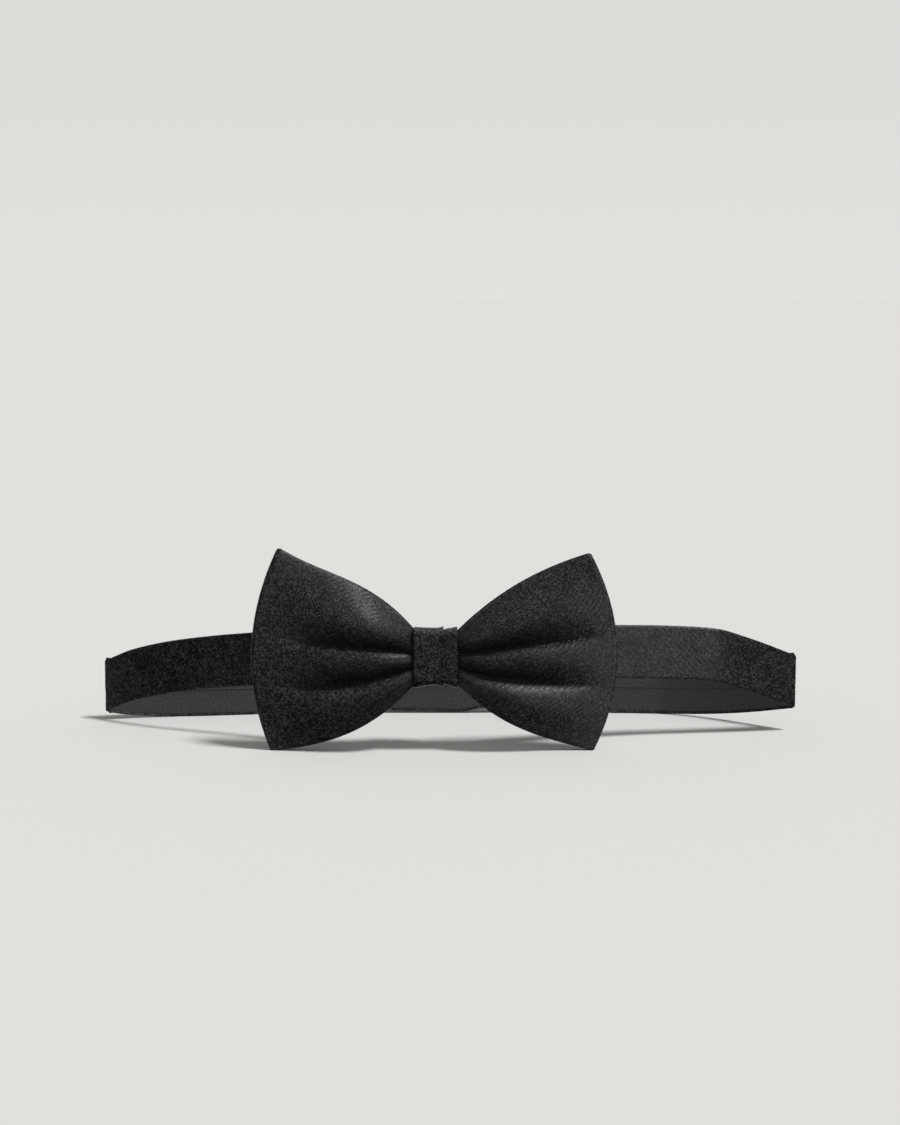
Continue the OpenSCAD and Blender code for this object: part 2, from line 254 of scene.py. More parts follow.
def noise_grain(tree, place, size, detail, more=()):
    """The shade of a random grain of that size."""
    inputs = [("Vector", place), ("Scale", 1 / size), ("Detail", detail), *more]
    return add_node(tree, "ShaderNodeTexNoise", inputs=inputs).outputs["Fac"]


def add_tones(tree, shader, shade, low, high, ends=(0, 1)):
    """Colours a shader between two tones, by a shade between two ends."""
    ramp = add_node(tree, "ShaderNodeValToRGB", inputs=[("Fac", shade)])
    for element, position, tone in zip(ramp.color_ramp.elements, ends, (low, high)):
        element.position = position
        element.color = tone
    tree.links.new(ramp.outputs["Color"], shader.inputs["Base Color"])


def add_relief(tree, shader, height, strength, depth_mm):
    """Gives a shader a relief of that strength and depth."""
    inputs = [("Height", height), ("Strength", strength), ("Distance", depth_mm * MM)]
    bump = add_node(tree, "ShaderNodeBump", inputs=inputs)
    tree.links.new(bump.outputs["Normal"], shader.inputs["Normal"])


WAVE_TURN = math.pi / 10  # length of one band of the Wave texture at a scale of 1
WARM_WHITE = (1, 0.993, 0.966, 1)  # tint of the studio's light, as linear colour


def polyester_satin():
    """Woven polyester satin: black and softly glossy, its floats of thread sparkling over a twill, with
    the sparkle painted into its colour as glints.
    """
    colours = bpy.context.scene.cloth_colours
    float_mm = (0.48, 0.36)  # a float of thread, drawn coarser than the real one so that it shows
    twill_angle = math.radians(38)
    twill_mm = 1.1  # from one twill line to the next, also drawn coarser
    cloudy_mm = 9.0  # soft change of tone where the cloth was pressed
    material, tree, shader = start_material(
        "polyester_satin_black",
        [("Specular IOR Level", 0.3), ("Anisotropic", 0.9), ("Anisotropic Rotation", 0.25)],
    )
    uv = add_node(tree, "ShaderNodeUVMap", [("uv_map", CLOTH_UV)]).outputs["UV"]
    along_twill = add_node(
        tree,
        "ShaderNodeMapping",
        [("vector_type", "TEXTURE")],
        [("Vector", uv), ("Rotation", (0, 0, twill_angle)), ("Scale", (*float_mm, 1))],
    ).outputs["Vector"]
    cells = add_node(
        tree,
        "ShaderNodeTexVoronoi",
        [("voronoi_dimensions", "2D"), ("feature", "SMOOTH_F1")],
        [("Vector", along_twill), ("Scale", 1.0), ("Smoothness", 0.15)],
    )
    grain = cells.outputs["Color"]
    twill = add_node(
        tree,
        "ShaderNodeTexWave",
        [("bands_direction", "DIAGONAL")],
        [("Vector", uv), ("Scale", WAVE_TURN / twill_mm), ("Distortion", 0.6), ("Detail Scale", 3.0)],
    ).outputs["Fac"]
    cloudy = noise_grain(tree, uv, cloudy_mm, 2.0)
    painted_glints = add_node(
        tree, "ShaderNodeMapRange", inputs=[("Value", grain), ("From Min", 0.4), ("From Max", 0.8)]
    ).outputs["Result"]
    tone = add_node(
        tree, "ShaderNodeMath", [("operation", "MULTIPLY_ADD")], [(0, cloudy), (1, 0.5), (2, -0.4)]
    ).outputs["Value"]
    lit = add_node(
        tree, "ShaderNodeMath", [("operation", "ADD"), ("use_clamp", True)], [(0, painted_glints), (1, tone)]
    ).outputs["Value"]
    # Painted glints: floats of thread are painted lighter at random in place of the light they catch,
    # and the cloudy tone shifts how many.
    colour = add_node(
        tree,
        "ShaderNodeMix",
        [("data_type", "RGBA")],
        [("Factor", lit), ("A", colours.satin_low), ("B", colours.satin_high)],
    ).outputs["Result"]
    rough = add_node(
        tree, "ShaderNodeMapRange", inputs=[("Value", grain), ("To Min", 0.58), ("To Max", 0.36)]
    ).outputs["Result"]
    height = add_node(
        tree, "ShaderNodeMath", [("operation", "MULTIPLY_ADD")], [(0, twill), (1, 0.2), (2, grain)]
    ).outputs["Value"]
    add_relief(tree, shader, height, 0.8, 0.2)
    warp = add_node(
        tree, "ShaderNodeTangent", [("direction_type", "UV_MAP"), ("uv_map", CLOTH_UV)]
    ).outputs["Tangent"]
    tree.links.new(colour, shader.inputs["Base Color"])
    tree.links.new(rough, shader.inputs["Roughness"])
    tree.links.new(warp, shader.inputs["Tangent"])
    return material


def cloth_finish(name, low, high, grain_mm, roughness, bump_mm):
    """A matte cloth: two tones mixed by a grain of that size, with a little relief."""
    material, tree, shader = start_material(
        name, [("Roughness", roughness), ("Specular IOR Level", 0.25), ("Sheen Weight", 0.1)]
    )
    uv = add_node(tree, "ShaderNodeUVMap", [("uv_map", CLOTH_UV)]).outputs["UV"]
    grain = noise_grain(tree, uv, grain_mm, 3.0, [("Roughness", 0.65)])
    add_tones(tree, shader, grain, low, high, (0.3, 0.7))
    add_relief(tree, shader, grain, 0.4, bump_mm)
    return material


def shaded(colour, share):
    """A colour made darker or lighter by a share."""
    return [clamp(c * share) for c in colour[:3]] + [1]


def band_lining():
    """Woven viscose lining: dark blue-grey and matte, because its short fibres scatter the light."""
    reverse = bpy.context.scene.cloth_colours.reverse
    return cloth_finish(
        "viscose_lining_grey", shaded(reverse, 0.7), shaded(reverse, 1.35), 0.8, 0.8, 0.1
    )


def pressed_interlining():
    """Pressed fibre interlining: off-white felt with a random fibre grain."""
    canvas = bpy.context.scene.cloth_colours.canvas
    return cloth_finish(
        "fibre_interlining_white", shaded(canvas, 0.8), shaded(canvas, 1.05), 0.5, 0.9, 0.1
    )


def spun_thread():
    """Spun polyester sewing thread: black, with the twist of its plies."""
    material, tree, shader = start_material(
        "spun_polyester_thread", [("Roughness", 0.55), ("Specular IOR Level", 0.4)]
    )
    twist_mm = 0.35  # one turn of the plies
    place = add_node(tree, "ShaderNodeTexCoord").outputs["Object"]
    twist = add_node(
        tree,
        "ShaderNodeTexWave",
        [("bands_direction", "DIAGONAL")],
        [("Vector", place), ("Scale", WAVE_TURN / (twist_mm * MM)), ("Distortion", 0.5)],
    ).outputs["Fac"]
    thread = bpy.context.scene.cloth_colours.thread
    add_tones(tree, shader, twist, shaded(thread, 0.6), shaded(thread, 2.4))
    add_relief(tree, shader, twist, 0.5, 0.05)
    return material


def nickel_plate():
    """Barrel-polished nickel plate on steel wire: bright warm grey, with fine random scratches."""
    material, tree, shader = start_material(
        "nickel_plate_polished",
        [("Base Color", bpy.context.scene.cloth_colours.nickel), ("Metallic", 1.0)],
    )
    scratch_mm = 0.5  # from one tumbling mark to the next
    wear_mm = 4.0  # patches where the plate has dulled
    place = add_node(tree, "ShaderNodeTexCoord").outputs["Object"]
    marks = noise_grain(tree, place, scratch_mm * MM, 4.0, [("Distortion", 1.5)])
    wear = noise_grain(tree, place, wear_mm * MM, 2.0)
    rough = add_node(
        tree, "ShaderNodeMapRange", inputs=[("Value", wear), ("To Min", 0.16), ("To Max", 0.42)]
    ).outputs["Result"]
    add_relief(tree, shader, marks, 0.15, 0.02)
    tree.links.new(rough, shader.inputs["Roughness"])
    return material


def studio_paper():
    """Matte studio paper: pale warm grey, with a barely visible fibre."""
    material, tree, shader = start_material(
        "studio_paper", [("Roughness", 1.0), ("Specular IOR Level", 0.0)]
    )
    fibre_mm = 3.0  # size of the paper's flecks
    place = add_node(tree, "ShaderNodeTexCoord").outputs["Object"]
    fibre = noise_grain(tree, place, fibre_mm * MM, 2.0)
    paper = bpy.context.scene.stage_light.paper
    add_tones(tree, shader, fibre, shaded(paper, 0.985), shaded(paper, 1.01))
    return material


def lit_paper():
    """Paper all round the studio, lit from behind so evenly that it glows: pale warm grey."""
    light = bpy.context.scene.stage_light
    material, tree, shader = start_material(
        "lit_studio_paper",
        [("Base Color", (0, 0, 0, 1)), ("Specular IOR Level", 0.0), ("Emission Color", WARM_WHITE)],
    )
    fade_height = 1.1  # metres from the floor to where the paper is at its dimmest
    dimmest = 0.94  # as a share of its brightness at the floor
    place = add_node(tree, "ShaderNodeTexCoord").outputs["Object"]
    height = add_node(tree, "ShaderNodeSeparateXYZ", inputs=[("Vector", place)]).outputs["Z"]
    glow = add_node(
        tree,
        "ShaderNodeMapRange",
        inputs=[
            ("Value", height),
            ("From Max", fade_height),
            ("To Min", light.backdrop),
            ("To Max", light.backdrop * dimmest),
        ],
    ).outputs["Result"]
    tree.links.new(glow, shader.inputs["Emission Strength"])
    return material


def black_card():
    """Black felt on card: it reflects no light into the gloss of the satin that faces it."""
    return start_material("black_felt_card", [("Base Color", (0, 0, 0, 1)), ("Roughness", 1.0)])[0]


def finish_of(maker):
    """The material that a maker function gives, made once."""
    made = bpy.context.scene.get("made_finishes", {})
    name = made.get(maker.__name__)
    if name is None:
        name = maker().name
        bpy.context.scene["made_finishes"] = {**dict(made), maker.__name__: name}
    return bpy.data.materials[name]


# ---- Cloth as grids ----


def path_length(points):
    """Length of the straight steps through a row of points."""
    return sum((Vector(b) - Vector(a)).length for a, b in zip(points, points[1:]))


def cloth_grid(columns, rows, place, inside_out=False):
    """A grid of cloth. place(i, j) gives a corner's point and its place on the cloth, in millimetres."""
    bm = bmesh.new()
    bmesh.ops.create_grid(bm, x_segments=columns - 1, y_segments=rows - 1, size=0.5)
    uv_layer = bm.loops.layers.uv.new(CLOTH_UV)
    spots = {}
    for vert in bm.verts:
        spot = (round((vert.co.x + 0.5) * (columns - 1)), round((vert.co.y + 0.5) * (rows - 1)))
        spots[vert] = place(*spot)
    for face in bm.faces:
        face.smooth = True
        for loop in face.loops:
            loop[uv_layer].uv = spots[loop.vert][1]
    for vert, (point, _) in spots.items():
        vert.co = point
    if inside_out:
        bmesh.ops.reverse_faces(bm, faces=bm.faces)
    return bm


def make_object(name, bm, finish):
    """A new object from a shape in the frame's metres, with its material."""
    mesh = bpy.data.meshes.new(name)
    bm.to_mesh(mesh)
    bm.free()
    mesh.materials.append(finish)
    made = bpy.data.objects.new(name, mesh)
    bpy.context.scene.collection.objects.link(made)
    return made


def make_piece(name, bm, finish):
    """A new object from a shape in the maker's millimetres, moved to the frame's metres."""
    bmesh.ops.transform(bm, matrix=Matrix.Translation(ORIGIN) @ Matrix.Scale(MM, 4), verts=bm.verts)
    return make_object(name, bm, finish)


def give_thickness(piece, thickness):
    """Cloth gets its thickness behind the face that its normals look from."""
    solid = piece.modifiers.new("thickness", "SOLIDIFY")
    solid.thickness = thickness
    solid.offset = -1


# ---- The bow ----

WAIST_X = 6.0  # where a wing leaves the knot
WAIST_TOP, WAIST_BOTTOM = 38.6, 23.3
EDGE_Y = -2.6  # the outer folds' middle
WAIST_BACK_Y = 0.2
LEFT, RIGHT = -1, 1
LOBE_ENDS = (0.0, 0.33, 0.59, 1.0)  # shares of the strip's width: its edges and two valleys between
LOBE_ROWS = 24  # rows of the grid across each lobe
WAIST_STEPS, WING_STEPS, FOLD_STEPS = 4, 46, 6  # steps of the grid along each part of a quarter loop
CANVAS_DEPTH, LINING_DEPTH = 0.28, 0.57  # how far inside the satin's face these plies' faces lie
SATIN_INSET, CANVAS_INSET, LINING_INSET = 0.28, 1.4, 1.2  # how far each ply stops short of an edge
WELD = 0.001  # corners nearer than this are joined

# For each wing: height of its upper corner, the corners' x, how far the outer edge bows out, and how
# the upper and lower edges flare near the waist
WINGS = {
    LEFT: dict(top_z=66.9, top_x=51.8, low_x=54.7, belly=7.3, top=(0.0, 1.0), low=(0.8, 0.5)),
    RIGHT: dict(top_z=65.3, top_x=50.6, low_x=52.1, belly=8.2, top=(0.48, 0.2), low=(0.45, 0.6)),
}


def flare(u, shape):
    """How far an edge has left the waist, as a share, at a share u of the wing's length."""
    return u + u * (1 - u) * (shape[0] + shape[1] * (1 - u))


def edge_heights(wing, u):
    """Heights of the wing's lower and upper edges."""
    low = mix(WAIST_BOTTOM, 0, flare(u, wing["low"]))
    return low, mix(WAIST_TOP, wing["top_z"], flare(u, wing["top"]))


def outer_edge_x(wing, v):
    """How far out the folded edge is, at a share v of the strip's width from below."""
    return mix(wing["low_x"], wing["top_x"], v) + wing["belly"] * 4 * v * (1 - v)


def lobe_profile(v):
    """How far a lobe stands forward at v, as a share: most at its crest, less at its foot and head."""
    lobe = 0 if v < LOBE_ENDS[1] else 1 if v < LOBE_ENDS[2] else 2
    t = (v - LOBE_ENDS[lobe]) / (LOBE_ENDS[lobe + 1] - LOBE_ENDS[lobe])
    crest, foot, head = ((0.74, 0.3, 0.0), (0.76, 0.0, 0.0), (0.46, 0.0, 0.25))[lobe]
    if t < crest:
        return mix(foot, 1, math.sin(math.pi / 2 * t / crest) ** 0.8)
    return mix(head, 1, math.cos(math.pi / 2 * clamp((t - crest) / (1 - crest))) ** 0.75)


def tuck_profile(v):
    """How deep the cloth is tucked at v, as a share: a slot at each valley, steep on its lower side."""
    deep = 0
    for valley in LOBE_ENDS[1:3]:
        above = v - valley
        width = 0.075 if above > 0 else 0.014
        deep = max(deep, math.exp(-((above / width) ** 2)))
    return deep


def wing_front_y(side, u, v, lobe_height, tuck_depth, fold_radius):
    """y of the front ply's outer face: a bulge with lobes, tucks, small gathers and a slight drape."""
    near_edge = 1 - smooth_step(min(v, 1 - v) / 0.2)
    stand = (1.65 * (1 - u) + 8.4 * u * (1 - u)) * (1 - 0.85 * near_edge * smooth_step(u / 0.07))
    lobes = 0.8 * (1 - u) ** 2 + lobe_height * 6.2 * u * (1 - u) ** 2
    tuck = tuck_depth * 3.3 * u**0.8 * (1 - u) ** 1.1 * tuck_profile(v)
    tuck *= 1 - smooth_step((u - 0.55) / 0.4)
    gathers = 0.22 * math.sin(2 * math.pi * (v * 11 + 0.35 * side)) * math.exp(-u / 0.1)
    gathers *= smooth_step(u / 0.04)
    drape = 0.5 * noise.noise(Vector((u * 2.2 + 3 * side, v * 2.6, 1.7))) * smooth_step(u / 0.2)
    return EDGE_Y - fold_radius - stand - lobes * lobe_profile(v) + tuck + gathers + drape * (1 - u**4)


def wing_back_y(side, u, v, fold_radius):
    """y of the back ply's outer face, which has only shallow pleats."""
    rest_y = WAIST_BACK_Y - EDGE_Y - fold_radius
    ripple = 0.5 * math.sin(3 * math.pi * v + 0.4 * side) * u * (1 - u)
    return EDGE_Y + fold_radius + rest_y * (1 - u) - abs(ripple)


def quarter_stations():
    """Stations from the bow's middle to one outer fold: (part, share of that part)."""
    parts = (("waist", WAIST_STEPS), ("wing", WING_STEPS), ("fold", FOLD_STEPS))
    return [(part, k / steps) for part, steps in parts for k in range(steps)]


def loop_stations():
    """Stations right round the strip's loop, from the back's middle: (is front, side, part, share)."""
    quarter = quarter_stations()
    to_right = [(False, RIGHT, *q) for q in quarter]
    from_right = [(True, RIGHT, "fold", 1.0)] + [(True, RIGHT, *q) for q in reversed(quarter)]
    to_left = [(True, LEFT, *q) for q in quarter[1:]]
    from_left = [(True, LEFT, "fold", 1.0)] + [(False, LEFT, *q) for q in reversed(quarter)]
    return to_right + from_right + to_left + from_left


def loop_point(station, v, rise, depth):
    """A point of the bow's strip: rise above a share v of its width, and depth inside its face."""
    front, side, part, share = station
    sizes = bpy.context.scene.bow_sizes
    radius = sizes.fold_radius / MM
    wing = WINGS[side]
    u = {"waist": 0.0, "wing": share, "fold": 1.0}[part]
    low, high = edge_heights(wing, u)
    v = clamp(v + rise / (high - low))
    z = mix(low, high, v)
    turn = math.pi / 2 * share if part == "fold" else 0
    inner = max(radius - depth, 0.1)
    reach = outer_edge_x(wing, v) - radius
    x = share * WAIST_X if part == "waist" else mix(WAIST_X, reach, u) + inner * math.sin(turn)
    if part == "fold":
        y = EDGE_Y + inner * math.cos(turn) * (-1 if front else 1)
    elif front:
        y = wing_front_y(side, u, v, sizes.lobe_height / MM, sizes.tuck_depth / MM, radius) + depth
    else:
        y = wing_back_y(side, u, v, radius) - depth
    return Vector((side * x, y, z))


def strip_rows(hem, depth, inset):
    """Rows across the strip, as (share, rise, depth), closest together at its valleys.

    With a hem, the rows turn round both edges.
    """
    inner = 2 * 0.4 + depth  # the hem lies inside the lining
    turn = ((0.12, 0.86), (0, 0.5), (0.12, 0.14))  # rise, and share of the hem's depth
    edge_share = 0.12  # the rows this near to an edge are pulled in
    steps = range(LOBE_ROWS)
    shares = [mix(0, LOBE_ENDS[1], math.sin(math.pi / 2 * k / LOBE_ROWS)) for k in steps]
    shares += [mix(*LOBE_ENDS[1:3], (1 - math.cos(math.pi * k / LOBE_ROWS)) / 2) for k in steps]
    shares += [mix(*LOBE_ENDS[2:], 1 - math.cos(math.pi / 2 * k / LOBE_ROWS)) for k in steps] + [1.0]
    rows = []
    for v in shares:
        pulled_in = smooth_step(1 - v / edge_share) - smooth_step(1 - (1 - v) / edge_share)
        rows.append((v, inset * pulled_in, depth))
    if not hem:
        return rows
    below = [(0, hem * k, inner) for k in (1, 0.6, 0.2)] + [(0, rise, inner * k) for rise, k in turn]
    above = [(1, -rise, inside) for _, rise, inside in reversed(below)]
    return below + rows + above


def make_loop_ply(name, depth, thickness, hem, inset, finish, node):
    """One ply of the bow's strip, all the way round the loop."""
    stations = loop_stations()
    rows = strip_rows(hem, depth, inset)
    around = [0.0]
    points = [[loop_point(s, *row) for row in rows] for s in stations]
    middle = len(rows) // 2
    for before, after in zip(points, points[1:]):
        around.append(around[-1] + (after[middle] - before[middle]).length)
    up = [0.0]
    widest = points[WAIST_STEPS + WING_STEPS]
    for before, after in zip(widest, widest[1:]):
        up.append(up[-1] + (after - before).length)

    def place(i, j):
        return points[i][j], (around[i], up[j])

    bm = cloth_grid(len(stations), len(rows), place, inside_out=True)
    bmesh.ops.remove_doubles(bm, verts=bm.verts, dist=WELD)
    piece = make_piece(name, bm, finish)
    give_thickness(piece, thickness)
    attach(piece, "bow")
    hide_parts(node)
    return piece


class BOWTIE_OT_bow(bpy.types.Operator):
    """Make the bow: one satin strip folded into a loop, with its interlining and its inner face"""

    bl_idname = "bowtie.bow"
    bl_label = "Bow"

    def execute(self, context):
        sizes = context.scene.bow_sizes
        finish = finish_of(polyester_satin)
        satin = make_loop_ply(
            "bow_satin", 0, sizes.satin, sizes.hem / MM, SATIN_INSET, finish, "bow_loop_satin"
        )
        finish = finish_of(pressed_interlining)
        node = "bow_loop_interlining"
        canvas = make_loop_ply(
            "bow_interlining", CANVAS_DEPTH, sizes.canvas, 0, CANVAS_INSET, finish, node
        )
        finish = finish_of(band_lining)
        lining = make_loop_ply(
            "bow_lining", LINING_DEPTH, sizes.lining, 0, LINING_INSET, finish, "bow_loop_lining"
        )
        return {"FINISHED"}


# ---- The knot ----

KNOT_COLUMNS = 120  # columns of the grid round the wrap
KNOT_CORNER = 2.4  # radius of the wrap's corners, seen from the side


def rounded_ring(half_y, half_z, radius, share):
    """A point of a rounded rectangle and its outward direction, in (y, z), down the front first."""
    straight_z, straight_y = 2 * (half_z - radius), 2 * (half_y - radius)
    arc = math.pi / 2 * radius
    length = 2 * (straight_y + straight_z) + 4 * arc
    s = share * length
    corners = (
        (straight_z, (-half_y, half_z - radius), (0, -1), (-1, 0)),
        (straight_y, (-half_y + radius, -half_z), (1, 0), (0, -1)),
        (straight_z, (half_y, -half_z + radius), (0, 1), (1, 0)),
        (straight_y, (half_y - radius, half_z), (-1, 0), (0, 1)),
    )
    for straight, start, along, out in corners:
        if s <= straight:
            return (start[0] + along[0] * s, start[1] + along[1] * s), out
        s -= straight
        if s <= arc:
            turn = s / radius
            centre = (
                start[0] + along[0] * straight - out[0] * radius,
                start[1] + along[1] * straight - out[1] * radius,
            )
            way = tuple(out[k] * math.cos(turn) + along[k] * math.sin(turn) for k in (0, 1))
            return (centre[0] + way[0] * radius, centre[1] + way[1] * radius), way
        s -= arc
    return corners[0][1], corners[0][3]


# Across the wrap: x, and how far the cloth stands out of its outer face. Two folded layers overlap,
# and each ends in a soft fold on the right.
WRAP_PROFILE = (
    (-5.2, -0.7),
    (-6.6, -0.66),
    (-7.15, -0.5),
    (-7.3, -0.25),
    (-7.15, 0.0),
    (-6.7, 0.12),
    (-5.4, 0.14),
    (-4.0, 0.14),
    (-2.6, 0.14),
    (-1.2, 0.14),
    (0.0, 0.15),
    (1.0, 0.22),
    (1.7, 0.42),
    (2.1, 0.6),
    (2.4, 0.5),
    (2.52, 0.15),
    (2.42, -0.2),
    (2.5, -0.5),
    (2.8, -0.42),
    (3.5, -0.16),
    (4.4, -0.1),
    (5.2, -0.06),
    (5.9, 0.04),
    (6.5, 0.16),
    (6.88, 0.1),
    (7.05, -0.12),
    (7.05, -0.4),
    (6.8, -0.6),
    (6.2, -0.66),
    (5.2, -0.7),
)
CANVAS_PROFILE = tuple((-6 + 0.75 * k, -0.78) for k in range(17))


class BOWTIE_OT_knot(bpy.types.Operator):
    """Make the knot: a satin wrap of two folded layers round the waist, and its interlining"""

    bl_idname = "bowtie.knot"
    bl_label = "Knot"

    def execute(self, context):
        low, high = ((corner - ORIGIN) / MM for corner in (KNOT_LOW, KNOT_HIGH))
        middle, half = (low + high) / 2, (high - low) / 2
        shares = [k % KNOT_COLUMNS / KNOT_COLUMNS for k in range(KNOT_COLUMNS + 1)]
        ring = [rounded_ring(half.y, half.z, KNOT_CORNER, share) for share in shares]
        length = 2 * math.pi * KNOT_CORNER + 4 * (half.y + half.z - 2 * KNOT_CORNER)
        plies = (
            ("knot_wrap_satin", WRAP_PROFILE, 0.25, polyester_satin, "knot_wrap", "satin"),
            (
                "knot_wrap_canvas",
                CANVAS_PROFILE,
                0.2,
                pressed_interlining,
                "knot_interlining",
                "interlining",
            ),
        )
        for name, profile, thickness, maker, node, slot in plies:

            def place(i, j):
                (y, z), out = ring[i]
                x, stand = profile[j]
                across = clamp(1 - (x / half.x) ** 2)
                at_front = smooth_step(-y / half.y)
                rise = z / half.z
                # The wrap has a soft dent, its foot is drawn up and its top is lower in the middle
                dent = 0.34 * math.exp(-(((x - 3.0) / 3.6) ** 2) - ((rise - 0.5) / 0.26) ** 2)
                stand += 0.1 * noise.noise(Vector((x * 0.35, y * 0.3, z * 0.22))) - dent * at_front
                lift = 1.15 * across * smooth_step(-rise * 1.6 - 0.5) * mix(0.75, 1, at_front)
                dip = 0.4 * across * smooth_step(rise * 1.6 - 0.5)
                lift += mix(1.2, -0.5, (y / half.y + 1) / 2) * smooth_step(rise * 3 - 2)
                spot_y = middle.y + y + out[0] * stand
                spot_z = middle.z + z + out[1] * stand + lift - dip
                return Vector((x, spot_y, spot_z)), (i / KNOT_COLUMNS * length, x)

            bm = cloth_grid(KNOT_COLUMNS + 1, len(profile), place)
            bmesh.ops.remove_doubles(bm, verts=bm.verts, dist=WELD)
            piece = make_piece(name, bm, finish_of(maker))
            round_off = piece.modifiers.new("round", "SUBSURF")
            round_off.levels = round_off.render_levels = 1
            give_thickness(piece, thickness * MM)
            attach(piece, "bow")
            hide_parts(node)
            flat = (path_length(profile) * MM, length * MM)
        return {"FINISHED"}


# ---- The neck band ----

BAND_W = 18.1
TUNNEL_Y, TUNNEL_LOW, TUNNEL_W = 1.6, 23.35, 15.2  # where the band is squeezed through the knot's back
TUNNEL_END = 20.0  # x where it is free again
REAR_Y, REAR_LIFT = 56.0, 1.6  # the rear run's place, and its lower edge at the fastening
EYE_X, HOOK_BAR_X, BAR_Y = -46.0, -23.25, 57.4  # the bars that the band's two ends turn round
LEFT_FOLD, LEFT_FOLD_LOW = (-116.6, 44.0), 2.9  # each fold's x and y, and its lower edge
RIGHT_FOLD, RIGHT_FOLD_LOW = (123.0, 26.0), 8.1
STRAIGHT_END = 50.0  # x where the right rear run starts to curve
EYE_LOOP_END, TAIL_END = -54.0, 52.0  # x of the turned ends' tips
BAND_STEP = 1.4  # from one column of the band's grid to the next
BLEND_HALF = 0.6  # half the gap in y between two points worked out beside each fold, which nothing else uses
CANVAS_T, LINING_T = 0.35 * MM, 0.12 * MM
ROUND_AT, FLAT_AT = 0.12, 0.45  # how far from the band's edge its satin curves, and where it is flat
ROUND_OUT = 0.72  # share of half the thickness that it has reached at ROUND_AT


def stretch(start, end, rows):
    """Rows of a free stretch of band, each given as its share of the way in x and y, and lower edge."""
    return [(mix(start[0], end[0], r[0]), mix(start[1], end[1], r[1]), r[2], BAND_W) for r in rows]


# Each row of a run: x, y, lower edge, width
FRONT_RUN = {
    LEFT: stretch(
        LEFT_FOLD,
        (-TUNNEL_END, TUNNEL_Y),
        [
            (0, 0, LEFT_FOLD_LOW),
            (0.125, 0.18, 8.7),
            (0.31, 0.43, 13.9),
            (0.56, 0.68, 18),
            (0.77, 0.87, 20.4),
        ],
    )
    + [(-TUNNEL_END, TUNNEL_Y, TUNNEL_LOW, TUNNEL_W), (0, TUNNEL_Y, TUNNEL_LOW, TUNNEL_W)],
    RIGHT: [(0, TUNNEL_Y, TUNNEL_LOW, TUNNEL_W), (TUNNEL_END, TUNNEL_Y, TUNNEL_LOW, TUNNEL_W)]
    + stretch(
        (TUNNEL_END, TUNNEL_Y),
        RIGHT_FOLD,
        [
            (0.215, 0.2, 21.8),
            (0.39, 0.39, 21.3),
            (0.615, 0.61, 20),
            (0.72, 0.68, 18.9),
            (0.82, 0.775, 15.7),
            (1, 1, RIGHT_FOLD_LOW),
        ],
    ),
}
REAR_RUN = {
    LEFT: stretch(
        LEFT_FOLD,
        (EYE_X - 7, REAR_Y),
        [
            (0, 0, LEFT_FOLD_LOW),
            (0.11, 0.17, 1.5),
            (0.22, 0.33, 0.6),
            (0.365, 0.47, 0),
            (0.555, 0.58, 0),
            (0.81, 0.78, 0),
            (1, 1, REAR_LIFT),
        ],
    )
    + [(EYE_X, REAR_Y, REAR_LIFT, BAND_W)],
    RIGHT: [
        (HOOK_BAR_X, REAR_Y, REAR_LIFT, BAND_W),
        (-14, REAR_Y, 0.7, BAND_W),
        (8, REAR_Y, 0.4, BAND_W),
        (17, REAR_Y, REAR_LIFT, BAND_W),
    ]
    + stretch(
        (STRAIGHT_END, REAR_Y),
        RIGHT_FOLD,
        [
            (0, 0, REAR_LIFT),
            (0.19, 0.013, 0.1),
            (0.37, 0.04, 0),
            (0.525, 0.17, 0.6),
            (0.68, 0.385, 2.1),
            (0.83, 0.67, 4.6),
            (1, 1, RIGHT_FOLD_LOW),
        ],
    ),
}


def secant(run, k, column):
    """Slope of one column between two rows of a run."""
    return (run[k + 1][column] - run[k][column]) / (run[k + 1][0] - run[k][0])


def row_slope(run, k, column):
    """Slope of the smooth curve at a row, which doesn't swing past the rows."""
    if k in (0, len(run) - 1):
        return secant(run, min(k, len(run) - 2), column)
    before, after = secant(run, k - 1, column), secant(run, k, column)
    return 0 if before * after <= 0 else 2 * before * after / (before + after)


def run_value(run, x, column):
    """A column of a run at x, on a smooth curve through its rows."""
    k = max([0] + [n for n in range(len(run) - 1) if run[n][0] <= x])
    width = run[k + 1][0] - run[k][0]
    t = (x - run[k][0]) / width
    a, b = run[k][column], run[k + 1][column]
    start, end = row_slope(run, k, column) * width, row_slope(run, k + 1, column) * width
    return a + start * t + (3 * (b - a) - 2 * start - end) * t**2 + (2 * (a - b) + start + end) * t**3


def run_stations(run, x_from, x_to, step):
    """Points (x, y, lower edge, width) along a run."""
    count = max(2, round(abs(x_to - x_from) / step))
    places = [mix(x_from, x_to, k / count) for k in range(count + 1)]
    return [(x, run_value(run, x, 1), run_value(run, x, 2), run_value(run, x, 3)) for x in places]


def fold_route(front, rear, radius):
    """One route along the front run, round the fold and along the rear run. Both meet at the fold."""
    corner = Vector(front[-1][:2])
    to_front = (Vector(front[-3][:2]) - corner).normalized()
    to_rear = (Vector(rear[2][:2]) - corner).normalized()
    half = to_front.angle(to_rear) / 2
    reach = radius / math.tan(half)
    centre = corner + (to_front + to_rear).normalized() * radius / math.sin(half)
    first = (corner + to_front * reach - centre).normalized()
    last = (corner + to_rear * reach - centre).normalized()
    keep = reach * 1.15
    before = [p for p in front if (Vector(p[:2]) - corner).length > keep]
    after = [p for p in rear if (Vector(p[:2]) - corner).length > keep]
    turn_steps = 12
    arc = []
    for k in range(turn_steps + 1):
        share = k / turn_steps
        spot = centre + first.slerp(last, share) * radius
        low = mix(mix(before[-1][2], after[0][2], share), front[-1][2], 0.7 * math.sin(math.pi * share))
        arc.append((spot.x, spot.y, low, front[-1][3]))
    return before + arc + after


